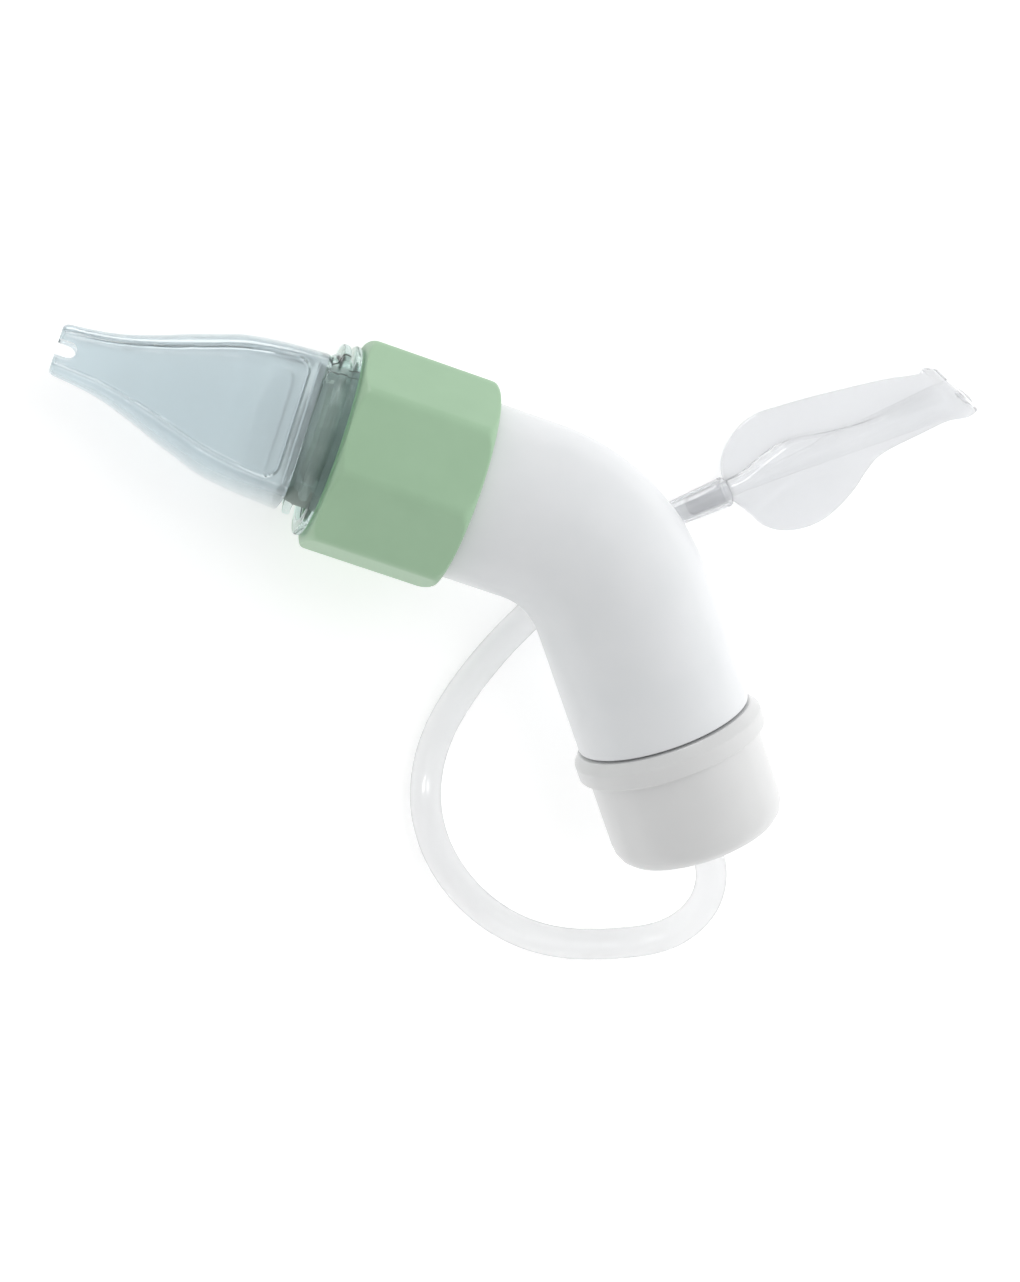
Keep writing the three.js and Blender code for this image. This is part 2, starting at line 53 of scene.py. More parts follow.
# ---- The frame: the arms' axes and the mouthpiece's, from the joints ----

NOSE_AXIS = Vector(JOINTS["collar_turn"]["axis"])
CAP_AXIS = -Vector(JOINTS["body_pull"]["axis"])
MOUTH_AXIS = Vector(JOINTS["mouthpiece_pull"]["axis"])
COLLAR_PIVOT = 37.2  # the collar joint's distance along the nose arm
MEETING = Vector(JOINTS["collar_turn"]["pos_m"]) - NOSE_AXIS * COLLAR_PIVOT * MM
NOSE_ROLL = math.radians(4)
SLEEVE_SPAN = (-9.0, 4.2)  # the sleeve's ends along the mouthpiece's axis


def arm_frame(origin, axis, roll=0.0):
    """Millimetres along an axis to metres in the row frame, with +Y as near to up as it goes."""
    across = Vector((0, 0, 1)).cross(axis).normalized()
    basis = Matrix((across, axis.cross(across), axis)).transposed().to_4x4()
    return Matrix.Translation(origin) @ basis @ Matrix.Rotation(roll, 4, "Z") @ Matrix.Scale(MM, 4)


def middle_of(node):
    """The centre of a CAD node's box, in metres."""
    low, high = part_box(node)
    return (low + high) / 2


NOSE = arm_frame(MEETING, NOSE_AXIS, NOSE_ROLL)
CAP = arm_frame(MEETING, CAP_AXIS)
MOUTH_ORIGIN = middle_of("mouthpiece_sleeve") - MOUTH_AXIS * sum(SLEEVE_SPAN) / 2 * MM
MOUTH_SIDE = Vector((0, 0, 1)).cross(MOUTH_AXIS)
MOUTH = (
    Matrix.Translation(MOUTH_ORIGIN)
    @ Matrix((MOUTH_AXIS, MOUTH_SIDE, Vector((0, 0, 1)))).transposed().to_4x4()
    @ Matrix.Scale(MM, 4)
)

# ---- Sizes, in millimetres, as the CAD parts have them ----

BODY_RADIUS = 15.85
BODY_BORE = 14.05
BEND_ANGLE = math.pi - NOSE_AXIS.angle(CAP_AXIS)
BEND_RADIUS = 27.0
SHOULDER = 26.0
NECK_RADIUS = 13.7
NECK_BORE = 11.9
NECK_END = 43.5
NECK_THREAD_START = 34.0
BODY_END = 36.6
SPIGOT_RADIUS = 13.9
SPIGOT_BORE = 12.3
SPIGOT_END = 45.5
SEAL_GROOVE = (3.6, 5.6)  # the O-ring groove's edges, past the body's end
SEAL_GROOVE_DEPTH = 0.9
COLLAR_REAR = 25.0
COLLAR_FRONT = 49.4
COLLAR_APOTHEM = 18.0
COLLAR_CORNER = 19.25  # 0.25 over the CAD's circle, so the corners are cut less
COLLAR_SOFTNESS = 0.06
# How far the collar's edge drops in radius, and over what length, at each end.
COLLAR_REAR_ROUNDING = (2.4, 2.2)
COLLAR_FRONT_ROUNDING = (2.2, -1.8)
COLLAR_RIM = 0.35
COLLAR_BORE = 15.2
COLLAR_LIP = 2.1
COLLAR_LIP_BORE = 14.4
COLLAR_THREAD_START = 32.0
THREAD_LEAD = 4.0
THREAD_TURNS = 1.5
THREAD_BEAD = 0.8
TIP_RADIUS = 14.05
TIP_WALL = 1.5
TIP_LENGTH = 49.1
FLANGE_RADIUS = 16.7
TIP_FLANGE = (2.3, 3.7)  # the flange's faces, above the collar's front
NOTCH_WIDTH = 2.8
NOTCH_DEPTH = 3.4
BAFFLE_REACH = 3.6  # how far its round wall reaches each way from the collar's front
BAFFLE_WALL = 1.2
CAP_MOUTH = 37.0
CAP_END = 59.7
CAP_RING = 17.4
CAP_RING_SPAN = (1.8, 4.6)  # where the grip ring is widest, from the cap's mouth
CAP_EDGE = 5.0
CAP_BORE = 14.25
CAP_LEDGE = 53.8
CAP_LEDGE_WIDTH = 2.4
CAP_FLOOR = 2.1
GRID_THICKNESS = 1.2
FOAM_THICKNESS = 5.0
HOSE_RADIUS = 2.8
HOSE_BORE = 1.7
NIPPLE_END = 61.5
NIPPLE_FLANGE = 5.0
NIPPLE_BORE = 1.3
GAP = 0.35

# The hose's middle line, in metres, from the nipple in the end cap to the sleeve.
HOSE_ROUTE = [
    (0.0556, -0.0463, 0.0148),
    (0.0576, -0.0487, 0.0143),
    (0.0592, -0.0519, 0.0132),
    (0.0599, -0.0556, 0.0114),
    (0.0593, -0.0593, 0.0092),
    (0.0575, -0.0626, 0.0069),
    (0.0546, -0.0652, 0.0049),
    (0.0508, -0.0672, 0.0035),
    (0.0462, -0.0690, 0.0029),
    (0.0405, -0.0706, 0.0028),
    (0.0344, -0.0713, 0.0028),
    (0.0280, -0.0708, 0.0028),
    (0.0216, -0.0689, 0.0028),
    (0.0157, -0.0657, 0.0028),
    (0.0104, -0.0610, 0.0028),
    (0.0065, -0.0549, 0.0028),
    (0.0046, -0.0481, 0.0028),
    (0.0045, -0.0413, 0.0028),
    (0.0058, -0.0347, 0.0028),
    (0.0080, -0.0280, 0.0028),
    (0.0109, -0.0213, 0.0028),
    (0.0143, -0.0149, 0.0028),
    (0.0179, -0.0087, 0.0028),
    (0.0215, -0.0029, 0.0028),
    (0.0253, 0.0019, 0.0029),
    (0.0286, 0.0057, 0.0030),
    (0.03135, 0.0084, 0.0031),
]

# ---- Camera ----

CAMERA_AT = (-0.1235, -0.0504, 0.4717)
CAMERA_TURN = (-2.14, -16.27, 19.47)
CAMERA_LENS = 75.8

camera_data = bpy.data.cameras.new("camera")
camera_data.lens = CAMERA_LENS
camera_data.sensor_width = 36.0
camera_data.clip_start = 0.01
camera = bpy.data.objects.new("camera", camera_data)
camera.location = CAMERA_AT
camera.rotation_euler = [math.radians(angle) for angle in CAMERA_TURN]
bpy.context.scene.collection.objects.link(camera)
bpy.context.scene.camera = camera

# ---- Material helpers ----


def new_material(name, color, roughness, **inputs):
    """A Principled material with its plain values set on the shader's own sockets."""
    material = bpy.data.materials.new(name)
    material.use_nodes = True
    shader = material.node_tree.nodes["Principled BSDF"]
    shader.inputs["Base Color"].default_value = (*color, 1.0)
    shader.inputs["Roughness"].default_value = roughness
    for key, value in inputs.items():
        shader.inputs[key.replace("_", " ")].default_value = value
    return material


def add_node(material, kind, **values):
    """A shader node, with values for its properties or for its sockets."""
    node = material.node_tree.nodes.new(kind)
    for key, value in values.items():
        if hasattr(node, key):
            setattr(node, key, value)
        else:
            node.inputs[key].default_value = value
    return node


def mould_surface(material, scale, bump, color_pair, roughness_pair):
    """The fine unevenness of a moulded surface: slight waviness, and a little variation
    of colour and of roughness. Scale is in features per metre."""
    tree = material.node_tree
    shader = tree.nodes["Principled BSDF"]
    place = add_node(material, "ShaderNodeTexCoord")
    fine = add_node(material, "ShaderNodeTexNoise", Scale=scale, Detail=4.0, Roughness=0.55)
    tree.links.new(place.outputs["Object"], fine.inputs["Vector"])
    relief = add_node(material, "ShaderNodeBump", Strength=bump, Distance=0.0001)
    tree.links.new(fine.outputs["Fac"], relief.inputs["Height"])
    tree.links.new(relief.outputs["Normal"], shader.inputs["Normal"])
    broad = add_node(material, "ShaderNodeTexNoise", Scale=scale / 8, Detail=3.0)
    tree.links.new(place.outputs["Object"], broad.inputs["Vector"])
    ramp = add_node(material, "ShaderNodeValToRGB")
    for stop, position, color in zip(ramp.color_ramp.elements, (0.3, 0.7), color_pair):
        stop.position = position
        stop.color = (*color, 1.0)
    tree.links.new(broad.outputs["Fac"], ramp.inputs["Fac"])
    tree.links.new(ramp.outputs["Color"], shader.inputs["Base Color"])
    spread = add_node(material, "ShaderNodeMapRange")
    spread.inputs["To Min"].default_value = roughness_pair[0]
    spread.inputs["To Max"].default_value = roughness_pair[1]
    tree.links.new(broad.outputs["Fac"], spread.inputs["Value"])
    tree.links.new(spread.outputs["Result"], shader.inputs["Roughness"])
    return material


def white_plastic(name, colors):
    """An opaque white plastic with a soft shine, between two close colours."""
    material = new_material(name, colors[0], 0.32, Coat_Weight=0.3, Coat_Roughness=0.18)
    return mould_surface(material, 900, 0.05, colors, (0.28, 0.38))


def collar_plastic():
    """The collar's matt green."""
    green = ((0.375, 0.57, 0.38), (0.395, 0.595, 0.40))
    material = new_material("collar_plastic", green[0], 0.38, Specular_IOR_Level=0.35)
    return mould_surface(material, 1200, 0.06, green, (0.34, 0.46))


def tip_plastic():
    """The tip's pale blue, partly clear and glossy."""
    blue = ((0.735, 0.855, 0.90), (0.75, 0.865, 0.905))
    material = new_material(
        "tip_plastic",
        blue[0],
        0.2,
        Transmission_Weight=0.68,
        IOR=1.4,
        Coat_Weight=1.0,
        Coat_Roughness=0.02,
    )
    return mould_surface(material, 500, 0.03, blue, (0.16, 0.26))


def clear_plastic(name, color, roughness, clearness, ior, coat=0.8):
    """A see-through plastic with a little haze: the rest of its clearness is white body."""
    material = new_material(
        name,
        color,
        roughness,
        Transmission_Weight=clearness,
        IOR=ior,
        Coat_Weight=coat,
        Coat_Roughness=0.04,
    )
    lighter = tuple(min(1.0, part * 1.02) for part in color)
    return mould_surface(material, 300, 0.015, (color, lighter), (roughness, roughness * 1.5))


def baffle_painted_shade():
    """The cup's dark grey-green inside the tip, which is painted shade: it stands for the shade
    inside the hollow tip, seen through its clear base.
    """
    grey = ((0.23, 0.29, 0.26), (0.26, 0.32, 0.29))
    material = new_material("baffle_painted_shade", grey[0], 0.5)
    return mould_surface(material, 1500, 0.1, grey, (0.45, 0.6))


def seal_silicone():
    """The pale, slightly soft-looking silicone of the seals."""
    pale = ((0.72, 0.74, 0.75), (0.76, 0.78, 0.79))
    material = new_material("seal_silicone", pale[0], 0.5, Subsurface_Weight=0.2)
    return mould_surface(material, 1500, 0.1, pale, (0.45, 0.6))


def foam_material():
    """Open-cell foam: small round cells, darker inside as painted shade in the pores."""
    material = new_material("foam", (0.82, 0.82, 0.78), 0.95)
    tree = material.node_tree
    shader = tree.nodes["Principled BSDF"]
    place = add_node(material, "ShaderNodeTexCoord")
    cells = add_node(material, "ShaderNodeTexVoronoi", Scale=1400.0)
    tree.links.new(place.outputs["Object"], cells.inputs["Vector"])
    # Painted shade: each cell is darker towards its middle, as a pore's hollow would be.
    ramp = add_node(material, "ShaderNodeValToRGB")
    ramp.color_ramp.elements[0].color = (0.45, 0.45, 0.42, 1)
    ramp.color_ramp.elements[1].color = (0.88, 0.88, 0.84, 1)
    ramp.color_ramp.elements[1].position = 0.45
    tree.links.new(cells.outputs["Distance"], ramp.inputs["Fac"])
    tree.links.new(ramp.outputs["Color"], shader.inputs["Base Color"])
    relief = add_node(material, "ShaderNodeBump", Strength=0.8, Distance=0.0004)
    tree.links.new(cells.outputs["Distance"], relief.inputs["Height"])
    tree.links.new(relief.outputs["Normal"], shader.inputs["Normal"])
    return material


BODY = white_plastic("body_plastic", ((0.81, 0.83, 0.845), (0.84, 0.855, 0.87)))
# The cap's white is a little darker than the body's white: painted shade, because the cap faces away
# from the light.
SHADED_CAP_WHITE = white_plastic("cap_plastic_painted_shade", ((0.745, 0.75, 0.75), (0.77, 0.775, 0.775)))
GREEN = collar_plastic()
BLUE = tip_plastic()
CLEAR = clear_plastic("clear_plastic", (0.76, 0.88, 0.86), 0.05, 0.92, 1.08, 0.25)
MILKY = clear_plastic("nipple_plastic", (0.88, 0.89, 0.89), 0.2, 0.3, 1.3)
HOSE_CLEAR = clear_plastic("hose_silicone", (0.97, 0.975, 0.98), 0.25, 0.85, 1.2)
MOUTH_CLEAR = clear_plastic("mouthpiece_plastic", (0.85, 0.86, 0.875), 0.14, 0.78, 1.14)
INNER_WALL = clear_plastic("inner_wall", (0.98, 0.985, 0.99), 0.1, 1.0, 1.03)
# The baffle's dark grey-green is painted shade for the inside of the tip.
PAINTED_SHADE_GREY = baffle_painted_shade()
SEAL = seal_silicone()
FOAM = foam_material()

# ---- Mesh helpers ----

SIDES = 128
COLLAR_SIDES = 288
DISC_SIDES = 96
BEND_STEPS = 20  # sections round the body's bend
COLLAR_BANDS = 8  # bands along the collar, between its rounded ends
ON_AXIS = 0.01  # the radius that closes a disc at its middle


def rounded(profile, steps=5):
    """A closed outline of (x, y, fillet radius) corners, with its corners rounded."""
    points = []
    count = len(profile)
    for i, (x, y, fillet) in enumerate(profile):
        here = Vector((x, y))
        before = Vector(profile[i - 1][:2]) - here
        after = Vector(profile[(i + 1) % count][:2]) - here
        if fillet <= 0 or before.length == 0 or after.length == 0:
            points.append((x, y))
            continue
        half = before.angle(after) / 2
        reach = min(fillet / math.tan(half), 0.49 * before.length, 0.49 * after.length)
        start = here + before.normalized() * reach
        end = here + after.normalized() * reach
        for k in range(steps + 1):
            t = k / steps
            point = start * (1 - t) ** 2 + here * 2 * t * (1 - t) + end * t**2
            points.append(tuple(point))
    return points


def loft(rings, looped=True):
    """Vertices and faces through rings of equal counts. A looped loft is a wall that
    joins its last ring to its first; the other kind gets a face across each end."""
    rings = [np.asarray(ring, float) for ring in rings]
    count = len(rings[0])
    faces = []
    bands = len(rings) if looped else len(rings) - 1
    for i in range(bands):
        a = i * count
        b = ((i + 1) % len(rings)) * count
        for j in range(count):
            k = (j + 1) % count
            faces.append((a + j, a + k, b + k, b + j))
    if not looped:
        faces.append(tuple(reversed(range(count))))
        last = (len(rings) - 1) * count
        faces.append(tuple(range(last, last + count)))
    return np.vstack(rings), faces


def circle(radius, height, sides=SIDES):
    """Points of a circle round the axis, at a height along it."""
    angles = np.arange(sides) * 2 * math.pi / sides
    return np.stack([radius * np.cos(angles), radius * np.sin(angles), np.full(sides, height)], 1)


def lathe(profile, sides=SIDES):
    """A ring-shaped solid from a closed outline of (radius, height, fillet) corners, which
    runs up its outer side."""
    return loft([circle(radius, height, sides) for radius, height in rounded(profile)])


def joined(*solids):
    """Several lofts as the parts of one piece."""
    vertices, faces, start = [], [], 0
    for points, polygons in solids:
        vertices.append(points)
        faces += [tuple(start + i for i in polygon) for polygon in polygons]
        start += len(points)
    return np.vstack(vertices), faces


def piece(name, solid, matrix, body, material, replaces, sharp=40):
    """Makes a mesh piece from a loft, in the row frame, and hands it to its body."""
    points, faces = solid
    mesh = bpy.data.meshes.new(name)
    mesh.from_pydata([matrix @ Vector(p) for p in points], [], faces)
    clean = bmesh.new()
    clean.from_mesh(mesh)
    bmesh.ops.remove_doubles(clean, verts=clean.verts, dist=1e-7)
    bmesh.ops.recalc_face_normals(clean, faces=clean.faces)
    clean.to_mesh(mesh)
    clean.free()
    mesh.shade_smooth()
    mesh.set_sharp_from_angle(angle=math.radians(sharp))
    mesh.materials.append(material)
    made = bpy.data.objects.new(name, mesh)
    bpy.context.scene.collection.objects.link(made)
    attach(made, body)
    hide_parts(*replaces)
    return made


def thread(radius, start, steps_per_turn=48, section=12):
    """A rounded screw thread that winds right-handed up the axis and tapers at its ends."""
    steps = int(steps_per_turn * THREAD_TURNS)
    rings = []
    for i in range(steps + 1):
        turn = THREAD_TURNS * i / steps
        angle = 2 * math.pi * turn
        taper = min(1.0, 0.25 + min(i, steps - i) / 8)
        ring = []
        for j in range(section):
            a = 2 * math.pi * j / section
            out = radius + THREAD_BEAD * taper * math.cos(a)
            up = start + THREAD_LEAD * turn + THREAD_BEAD * taper * math.sin(a)
            ring.append((out * math.cos(angle), out * math.sin(angle), up))
        rings.append(ring)
    return loft(rings, looped=False)


# ---- The bent body ----


def body_ring(travel, radius):
    """A circle round the body's middle line, in metres. Travel is in millimetres along
    it: negative on the nose arm, and past the bend's length on the cap arm."""
    turn = min(max(travel / BEND_RADIUS, 0.0), BEND_ANGLE)
    start = -NOSE_AXIS
    inward = (CAP_AXIS - NOSE_AXIS * CAP_AXIS.dot(NOSE_AXIS)).normalized()
    forward = start * math.cos(turn) + inward * math.sin(turn)
    to_centre = inward * math.cos(turn) - start * math.sin(turn)
    middle = NOSE_AXIS * BEND_RADIUS * math.tan(BEND_ANGLE / 2)
    middle += inward * BEND_RADIUS - to_centre * BEND_RADIUS
    straight = travel if travel < 0 else max(0.0, travel - BEND_RADIUS * BEND_ANGLE)
    middle += forward * straight
    side = forward.cross(to_centre)
    ring = []
    for j in range(SIDES):
        a = 2 * math.pi * j / SIDES
        spoke = to_centre * math.cos(a) + side * math.sin(a)
        ring.append(MEETING + (middle + spoke * radius) * MM)
    return ring


def elbow_body():
    """The hollow bent body, from its threaded neck to the spigot that the cap goes on."""
    tangent = BEND_RADIUS * math.tan(BEND_ANGLE / 2)
    bend = BEND_RADIUS * BEND_ANGLE
    cap_arm = bend - tangent  # added to a distance along the cap arm, makes it a travel
    groove_low, groove_high = (cap_arm + BODY_END + edge for edge in SEAL_GROOVE)
    profile = [
        (tangent - NECK_END, NECK_RADIUS, 0.5),
        (tangent - SHOULDER, NECK_RADIUS, 0.4),
        (tangent - SHOULDER, BODY_RADIUS, 0.5),
        (0.0, BODY_RADIUS, 0),
        (bend, BODY_RADIUS, 0),
        (cap_arm + BODY_END, BODY_RADIUS, 0.45),
        (cap_arm + BODY_END, SPIGOT_RADIUS, 0.3),
        (groove_low, SPIGOT_RADIUS, 0.2),
        (groove_low, SPIGOT_RADIUS - SEAL_GROOVE_DEPTH, 0.2),
        (groove_high, SPIGOT_RADIUS - SEAL_GROOVE_DEPTH, 0.2),
        (groove_high, SPIGOT_RADIUS, 0.2),
        (cap_arm + SPIGOT_END, SPIGOT_RADIUS - 0.2, 0.5),
        (cap_arm + SPIGOT_END, SPIGOT_BORE, 0.4),
        (cap_arm + BODY_END - 4, SPIGOT_BORE, 0.5),
        (cap_arm + BODY_END - 8, BODY_BORE, 0.5),
        (bend, BODY_BORE, 0),
        (0.0, BODY_BORE, 0),
        (tangent - SHOULDER + 6, BODY_BORE, 0.5),
        (tangent - SHOULDER + 2, NECK_BORE, 0.5),
        (tangent - NECK_END, NECK_BORE, 0.4),
    ]
    stations = []
    outline = rounded(profile)
    for (travel, radius), (next_travel, _) in zip(outline, outline[1:] + outline[:1]):
        stations.append((travel, radius))
        if {travel, next_travel} == {0.0, bend}:
            for k in range(1, BEND_STEPS):
                stations.append((travel + (next_travel - travel) * k / BEND_STEPS, radius))
    shell = loft([body_ring(travel, radius) for travel, radius in stations])
    bead, bead_faces = thread(NECK_RADIUS + 0.2, NECK_THREAD_START)
    neck = arm_frame(MEETING, NOSE_AXIS)
    bead = np.array([neck @ Vector(p) for p in bead])
    solid = joined(shell, (bead, bead_faces))
    return piece("elbow_shell", solid, Matrix(), "elbow", BODY, ["elbow_body"])


# ---- The collar ----


def soft_least(a, b, blend):
    """The lesser of two sizes, with the change from one to the other rounded."""
    return -blend * np.log(np.exp(-a / blend) + np.exp(-b / blend))


def collar_ring(height, circle_radius):
    """An octagon whose corners a circle cuts, with slightly softened edges."""
    angles = np.arange(COLLAR_SIDES) * 2 * math.pi / COLLAR_SIDES
    flat = math.pi / 4
    off = angles - flat * np.round(angles / flat)
    cut = np.full(COLLAR_SIDES, circle_radius)
    radius = soft_least(COLLAR_APOTHEM / np.cos(off), cut, COLLAR_SOFTNESS)
    heights = np.full(COLLAR_SIDES, height)
    return np.stack([radius * np.cos(angles), radius * np.sin(angles), heights], 1)


def edge_curve(height, drop, length, start, steps=10):
    """Heights and corner radii of a collar edge that rounds off towards one end."""
    stations = []
    for k in range(steps + 1):
        turn = math.pi / 2 * k / steps
        along = height + length * (1 - math.cos(turn))
        stations.append((along, start - drop * (1 - math.sin(turn))))
    return stations


def collar():
    """The octagonal screw collar, with a lip at its front that holds the tip."""
    rear = edge_curve(COLLAR_REAR, *COLLAR_REAR_ROUNDING, COLLAR_CORNER)
    front = edge_curve(COLLAR_FRONT, *COLLAR_FRONT_ROUNDING, COLLAR_CORNER)
    outer = [(COLLAR_REAR, rear[0][1] - COLLAR_RIM)] + rear
    for k in range(1, COLLAR_BANDS):
        height = rear[-1][0] + (front[-1][0] - rear[-1][0]) * k / COLLAR_BANDS
        outer.append((height, COLLAR_CORNER))
    outer += front[::-1] + [(COLLAR_FRONT, front[0][1] - COLLAR_RIM)]
    rings = [collar_ring(height, radius) for height, radius in outer]
    bore = rounded(
        [
            (COLLAR_LIP_BORE + 1.6, COLLAR_FRONT, 0.1),
            (COLLAR_LIP_BORE + 1.3, COLLAR_FRONT + 0.25, 0.2),
            (COLLAR_LIP_BORE + 0.3, COLLAR_FRONT + 0.25, 0.3),
            (COLLAR_LIP_BORE, COLLAR_FRONT - 0.3, 0.3),
            (COLLAR_LIP_BORE, COLLAR_FRONT - COLLAR_LIP, 0.2),
            (COLLAR_BORE, COLLAR_FRONT - COLLAR_LIP, 0.3),
            (COLLAR_BORE, SHOULDER + 2, 0.3),
            (BODY_RADIUS + 0.3, SHOULDER + 1, 0.3),
            (BODY_RADIUS + 0.3, COLLAR_REAR, 0.35),
        ]
    )
    rings += [circle(radius, height, COLLAR_SIDES) for radius, height in bore]
    solid = joined(loft(rings), thread(COLLAR_BORE - 0.1, COLLAR_THREAD_START))
    return piece("collar_shell", solid, NOSE, "collar", GREEN, ["collar"], 50)


# ---- The nose tip ----

# Height above the collar's front, half width and half thickness of the tip's blade.
BLADE = [
    (5.8, 13.9, 9.65),
    (9.0, 13.75, 9.2),
    (13.1, 13.5, 8.4),
    (16.5, 13.15, 7.8),
    (20.5, 12.45, 7.2),
    (24.8, 11.0, 6.4),
    (28.6, 9.7, 5.7),
    (33.4, 7.85, 4.9),
    (37.4, 6.5, 4.2),
    (40.5, 5.65, 3.7),
    (44.9, 4.95, 3.0),
    (48.2, 4.6, 2.55),
    (TIP_LENGTH, 4.35, 2.4),
]
# Half width of the flat panel on each broad face, by height.
PANEL = [
    (5.8, 10.8),
    (13.0, 10.35),
    (20.0, 9.2),
    (27.0, 7.0),
    (34.0, 4.9),
    (41.0, 3.4),
    (TIP_LENGTH, 2.6),
]
PANEL_BASE = 8.3
PANEL_CORNER = 2.5
PANEL_DEPTH = 0.16
PANEL_EDGE_WIDTH = 0.07
GROOVE_DEPTH = 0.3
GROOVE_WIDTH = 0.17
LINE_DEPTH = 0.14
LINE_BELOW_PANEL = 1.5
FLAT_POINTS = 73
SIDE_POINTS = 40
FACE_SPREAD = math.radians(50)  # half the angle that a broad face takes of the round base


def smooth_table(table, height, column):
    """A smooth curve through a short table, by cubic steps with averaged slopes."""
    xs = [row[0] for row in table]
    ys = [row[column] for row in table]
    i = min(max(sum(x <= height for x in xs) - 1, 0), len(xs) - 2)
    slopes = []
    for k in (i, i + 1):
        low, high = max(k - 1, 0), min(k + 1, len(xs) - 1)
        slopes.append((ys[high] - ys[low]) / (xs[high] - xs[low]))
    span = xs[i + 1] - xs[i]
    t = min(max((height - xs[i]) / span, 0.0), 1.0)
    rise = (2 * t**3 - 3 * t**2 + 1) * ys[i] + (3 * t**2 - 2 * t**3) * ys[i + 1]
    bow = (t**3 - 2 * t**2 + t) * slopes[0] + (t**3 - t**2) * slopes[1]
    return rise + bow * span


def panel_relief(x, height):
    """How far the surface lies below the blade's face: the panel is sunk a little, with
    a fine groove round it, and a second shallow line crosses its base."""
    half = smooth_table(PANEL, height, 1)
    across = abs(x) - half
    along = PANEL_BASE - height
    if across > -PANEL_CORNER and along > -PANEL_CORNER:
        edge = math.hypot(across + PANEL_CORNER, along + PANEL_CORNER) - PANEL_CORNER
    else:
        edge = max(across, along)
    step = PANEL_DEPTH / (1 + math.exp(min(edge / PANEL_EDGE_WIDTH, 50)))
    groove = GROOVE_DEPTH * math.exp(-((edge / GROOVE_WIDTH) ** 2))
    from_line = height - PANEL_BASE + LINE_BELOW_PANEL
    line = LINE_DEPTH * math.exp(-((from_line / GROOVE_WIDTH) ** 2))
    return step + groove + line * (abs(x) < half)


def blade_section(height, inset):
    """The blade's section: two flat faces and two elliptical sides."""
    width = smooth_table(BLADE, height, 1) - inset
    thickness = smooth_table(BLADE, height, 2) - inset
    flat = min(smooth_table(PANEL, height, 1) + 0.45, width - 0.8)
    points = []
    for face in (1, -1):
        for k in range(FLAT_POINTS):
            x = face * flat * (1 - 2 * k / (FLAT_POINTS - 1))
            sunk = 0.0 if inset else panel_relief(x, height)
            points.append((x, face * (thickness - sunk)))
        for k in range(1, SIDE_POINTS):
            turn = math.pi * k / SIDE_POINTS
            x = -face * (flat + (width - flat) * math.sin(turn))
            points.append((x, face * thickness * math.cos(turn)))
    return [(x, y, COLLAR_FRONT + height) for x, y in points]


def round_section(radius, height):
    """A circle with the blade section's point count, for the tip's base."""
    points = []
    for face in (1, -1):
        for k in range(FLAT_POINTS):
            angle = face * (math.pi / 2 - FACE_SPREAD + 2 * FACE_SPREAD * k / (FLAT_POINTS - 1))
            points.append((radius * math.cos(angle), radius * math.sin(angle)))
        for k in range(1, SIDE_POINTS):
            turn = (math.pi - 2 * FACE_SPREAD) * k / SIDE_POINTS
            angle = face * (math.pi / 2 + FACE_SPREAD + turn)
            points.append((radius * math.cos(angle), radius * math.sin(angle)))
    return [(x, y, COLLAR_FRONT + height) for x, y in points]


def blade_heights(fine_step=0.35):
    """Heights of the blade's sections, closest where the panel's base edge is."""
    heights = list(np.arange(BLADE[0][0], PANEL_BASE + 3, 0.1))
    heights += list(np.arange(PANEL_BASE + 3, TIP_LENGTH - 0.6, fine_step))
    return heights


def nose_tip():
    """The hollow tip: a clear round base with a flange, and a pale-blue blade."""
    r = TIP_RADIUS
    inside = r - TIP_WALL
    skirt = COLLAR_LIP + GAP
    flange_low, flange_high = TIP_FLANGE
    outline = rounded(
        [
            (inside, -skirt - 1.6, 0.2),
            (r + 0.8, -skirt - 1.6, 0.3),
            (r + 0.8, -skirt, 0.3),
            (r, -skirt, 0.2),
            (r, flange_low, 0.35),
            (FLANGE_RADIUS, flange_low, 0.5),
            (FLANGE_RADIUS, flange_high, 0.6),
            (r + 0.7, flange_high + 0.3, 0.8),
            (r + 0.1, flange_high + 1.2, 0.6),
            (inside, flange_high + 1.2, 0),
        ]
    )
    outer = [round_section(radius, height) for radius, height in outline[:-1]]
    outer += [blade_section(height, 0) for height in blade_heights()]
    outer += [blade_section(TIP_LENGTH - 0.5, 0.05), blade_section(TIP_LENGTH - 0.15, 0.2)]
    outer.append(blade_section(TIP_LENGTH, 0.45))
    inner = [blade_section(TIP_LENGTH, 0.9)]
    for height in blade_heights(1.2)[::-1]:
        inner.append(blade_section(height, TIP_WALL - 0.4 * height / TIP_LENGTH))
    inner += [round_section(inside, 4.5), round_section(inside, 0.0)]
    solid = loft(outer + inner)
    tip = piece("nose_tip_shell", solid, NOSE, "nose", BLUE, ["nose_tip"], 50)
    tip.data.materials.append(CLEAR)
    tip.data.materials.append(INNER_WALL)
    edge = COLLAR_FRONT + BLADE[0][0] - 0.05
    to_arm = NOSE.inverted()
    for polygon in tip.data.polygons:
        middle = to_arm @ polygon.center
        outward = (to_arm.to_3x3() @ polygon.normal).dot(Vector((middle.x, middle.y, 0)))
        if outward < 0:
            polygon.material_index = 2
        elif middle.z < edge:
            polygon.material_index = 1
    subtract(tip, notch_solid(), NOSE)
    return tip


def notch_solid():
    """The round-ended notch through the end of the tip."""
    half = NOTCH_WIDTH / 2
    outline = [(half, 2.0), (half, half - NOTCH_DEPTH)]
    for k in range(1, 24):
        turn = math.pi * k / 24
        outline.append((half * math.cos(turn), half - NOTCH_DEPTH - half * math.sin(turn)))
    outline += [(-half, half - NOTCH_DEPTH), (-half, 2.0)]
    top = COLLAR_FRONT + TIP_LENGTH
    return loft([[(x, y, top + z) for x, z in outline] for y in (-8.0, 8.0)], looped=False)


